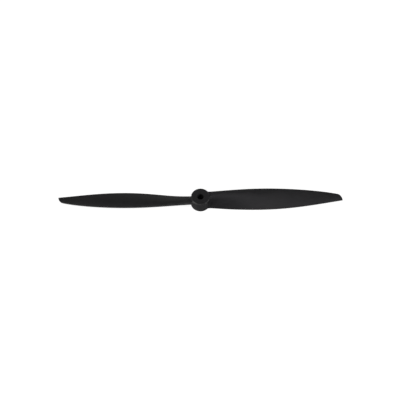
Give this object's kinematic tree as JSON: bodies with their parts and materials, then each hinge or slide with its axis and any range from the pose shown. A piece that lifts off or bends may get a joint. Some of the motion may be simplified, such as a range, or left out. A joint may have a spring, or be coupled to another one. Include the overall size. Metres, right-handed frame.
{
  "type": "model aircraft propeller",
  "caption": "Two-blade fixed-pitch propeller of black nylon for an electric glider: swept-tip blades twisted along a 5 in pitch helix, on a round hub with a 5.5 mm bore.",
  "frame": {"origin": "centre of the hub's back face, on the shaft axis", "axes": "+Z along the shaft axis towards the front, the way the propeller pulls; +X along blade_1; +Y completes the frame and is the side that blade_1 leads with"},
  "size_m": [0.254, 0.0198, 0.0122],
  "materials": {
    "nylon": "satin moulded, glass-filled"
  },
  "bodies": {
    "root": {"hub": "nylon", "blade_1": "nylon", "blade_2": "nylon"}
  },
  "joints": []
}
